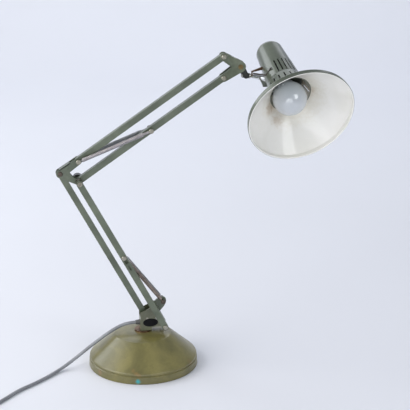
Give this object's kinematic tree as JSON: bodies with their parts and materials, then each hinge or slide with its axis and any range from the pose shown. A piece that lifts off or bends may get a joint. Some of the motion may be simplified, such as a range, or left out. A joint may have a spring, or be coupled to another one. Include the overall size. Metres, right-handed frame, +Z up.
{
  "type": "architect desk lamp",
  "caption": "Balanced-arm desk lamp: round base, swivel bracket, two spring-loaded parallelogram arms, tilting and swivelling vented shade, power cord.",
  "frame": {"origin": "centre of the underside of the round base, on the surface the lamp stands on", "axes": "+Z up; the arm moves in the X-Z plane; -Y is the front that the shade looks toward, +X is the lamp's right"},
  "size_m": [0.7479, 0.378, 0.5893],
  "materials": {
    "green_paint": "worn olive-green enamel",
    "arm_paint": "worn grey-green enamel",
    "bright_steel": "bright steel with light rust",
    "dark_steel": "blackened steel",
    "spring_steel": "spring wire",
    "chrome": "old chrome plating",
    "brass": "dull brass",
    "brown_metal": "brown lacquered steel",
    "cast_iron": "rough casting",
    "black_plastic": "moulded phenolic",
    "grey_cord": "round sheathed cord",
    "grey_rubber": "moulded rubber",
    "felt_pad": "pressed felt",
    "bulb_glass": "pearl glass",
    "lead_dark": "thin sheathed lead"
  },
  "bodies": {
    "base": {"base_shell": "green_paint", "base_ballast": "cast_iron", "base_pad": "felt_pad", "bearing_tube": "dark_steel", "collar_washer": "brass", "base_collar": "brown_metal"},
    "stand": {"swivel_spindle": "bright_steel", "base_bracket": "green_paint", "spring_ear": "arm_paint", "ear_rivets": "bright_steel", "label_plate": "black_plastic", "cord_gland": "grey_rubber", "lower_rear_pin": "bright_steel", "lower_front_pin": "bright_steel", "front_washer": "bright_steel", "lower_spring_pin": "bright_steel", "power_cord": "grey_cord", "cord_coil": "grey_cord", "plug_body": "black_plastic", "plug_pins": "brass"},
    "lower_rear": {"lower_rear_bar": "arm_paint"},
    "lower_front": {"lower_front_bar": "arm_paint", "lower_hook_pin": "bright_steel"},
    "elbow": {"elbow_plate": "arm_paint", "elbow_rear_pin": "dark_steel", "elbow_top_pin": "bright_steel", "elbow_front_pin": "bright_steel", "elbow_spacer": "bright_steel"},
    "elbow_clamp": {"elbow_knob": "black_plastic"},
    "upper_lower": {"upper_lower_bar": "arm_paint", "upper_hook_pin": "bright_steel"},
    "upper_top": {"upper_top_bar": "arm_paint"},
    "head_link": {"head_plate": "green_paint", "head_top_pin": "bright_steel", "head_low_pin": "bright_steel", "head_screw": "brass"},
    "head_clamp": {"head_knob": "black_plastic"},
    "tilt": {"tilt_block": "dark_steel"},
    "lamp_head": {"swivel_tube": "bright_steel", "head_bracket": "chrome", "head_stay": "brown_metal", "head_lead": "lead_dark", "shade": "green_paint", "shade_neck": "green_paint", "lamp_housing": "green_paint", "lampholder": "black_plastic", "holder_bridge": "bright_steel", "bulb_glass": "bulb_glass", "bulb_cap": "brass", "switch_body": "black_plastic"},
    "switch": {"switch_button": "black_plastic"},
    "lower_springs": {"lower_spring_near": "spring_steel", "lower_spring_far": "spring_steel"},
    "lower_hooks": {"lower_spring_hooks": "spring_steel"},
    "upper_springs": {"upper_spring_near": "spring_steel", "upper_spring_far": "spring_steel"},
    "upper_hooks": {"upper_spring_hooks": "spring_steel"}
  },
  "joints": [
    {"name": "base_swivel", "type": "hinge", "parent": "base", "child": "stand", "pos_m": [0, 0, 0.066], "axis": [0, 0, 1], "range_deg": [-170, 170]},
    {"name": "lower_arm_tilt", "type": "hinge", "parent": "stand", "child": "lower_rear", "pos_m": [0.0065, 0, 0.091], "axis": [0, -1, 0], "range_deg": [-40, 15]},
    {"name": "lower_front_swing", "type": "hinge", "parent": "stand", "child": "lower_front", "pos_m": [0.03895, -0.0175, 0.07518], "axis": [0, -1, 0], "range_deg": [-40.5, 15.5]},
    {"name": "elbow_level", "type": "hinge", "parent": "lower_rear", "child": "elbow", "pos_m": [-0.14324, 0, 0.3738], "axis": [0, -1, 0], "range_deg": [-15.5, 40.5]},
    {"name": "elbow_knob_turn", "type": "hinge", "parent": "elbow", "child": "elbow_clamp", "pos_m": [-0.11079, 0.012, 0.35798], "axis": [0, 1, 0], "range_deg": [-90, 90]},
    {"name": "upper_arm_tilt", "type": "hinge", "parent": "elbow", "child": "upper_lower", "pos_m": [-0.11079, 0, 0.35798], "axis": [0, -1, 0], "range_deg": [-40, 20]},
    {"name": "upper_top_swing", "type": "hinge", "parent": "elbow", "child": "upper_top", "pos_m": [-0.11079, 0, 0.39578], "axis": [0, -1, 0], "range_deg": [-40.5, 20.5]},
    {"name": "head_level", "type": "hinge", "parent": "upper_lower", "child": "head_link", "pos_m": [0.14891, 0, 0.53447], "axis": [0, -1, 0], "range_deg": [-20.5, 40.5]},
    {"name": "head_knob_turn", "type": "hinge", "parent": "head_link", "child": "head_clamp", "pos_m": [0.17871, 0.012, 0.55337], "axis": [0, 1, 0], "range_deg": [-90, 90]},
    {"name": "head_tilt", "type": "hinge", "parent": "head_link", "child": "tilt", "pos_m": [0.17871, 0, 0.55337], "axis": [0, -1, 0], "range_deg": [-30, 30]},
    {"name": "head_swivel", "type": "hinge", "parent": "tilt", "child": "lamp_head", "pos_m": [0.1836, 0, 0.5373], "axis": [0.9882, 0, -0.153], "range_deg": [-60, 120]},
    {"name": "switch_press", "type": "slide", "parent": "lamp_head", "child": "switch", "axis": [0.1196, -0.8961, -0.4274], "range_m": [0, 0.003], "stiffness_N_per_m": 300},
    {"name": "lower_spring_swing", "type": "hinge", "parent": "stand", "child": "lower_springs", "pos_m": [0.0368, 0, 0.1213], "axis": [0, -1, 0], "range_deg": [-54.5, 20.75], "deforming": ["lower_spring_near", "lower_spring_far"]},
    {"name": "lower_hook_swing", "type": "hinge", "parent": "lower_front", "child": "lower_hooks", "pos_m": [-0.03517, 0, 0.21516], "axis": [0, -1, 0], "range_deg": [-14.5, 5.75]},
    {"name": "upper_spring_swing", "type": "hinge", "parent": "elbow", "child": "upper_springs", "pos_m": [-0.11079, 0, 0.39578], "axis": [0, -1, 0], "range_deg": [-42.9, 21.7], "deforming": ["upper_spring_near", "upper_spring_far"]},
    {"name": "upper_hook_swing", "type": "hinge", "parent": "upper_lower", "child": "upper_hooks", "pos_m": [0.0184, 0, 0.44578], "axis": [0, -1, 0], "range_deg": [-2.9, 1.7]}
  ],
  "couplings": [
    {"joint": "lower_front_swing", "follows": "lower_arm_tilt", "ratio": 1},
    {"joint": "elbow_level", "follows": "lower_arm_tilt", "ratio": -1},
    {"joint": "upper_top_swing", "follows": "upper_arm_tilt", "ratio": 1},
    {"joint": "head_level", "follows": "upper_arm_tilt", "ratio": -1},
    {"joint": "lower_spring_swing", "follows": "lower_arm_tilt", "ratio": 1.35},
    {"joint": "lower_hook_swing", "follows": "lower_arm_tilt", "ratio": 0.35},
    {"joint": "upper_spring_swing", "follows": "upper_arm_tilt", "ratio": 1.06},
    {"joint": "upper_hook_swing", "follows": "upper_arm_tilt", "ratio": 0.06}
  ]
}
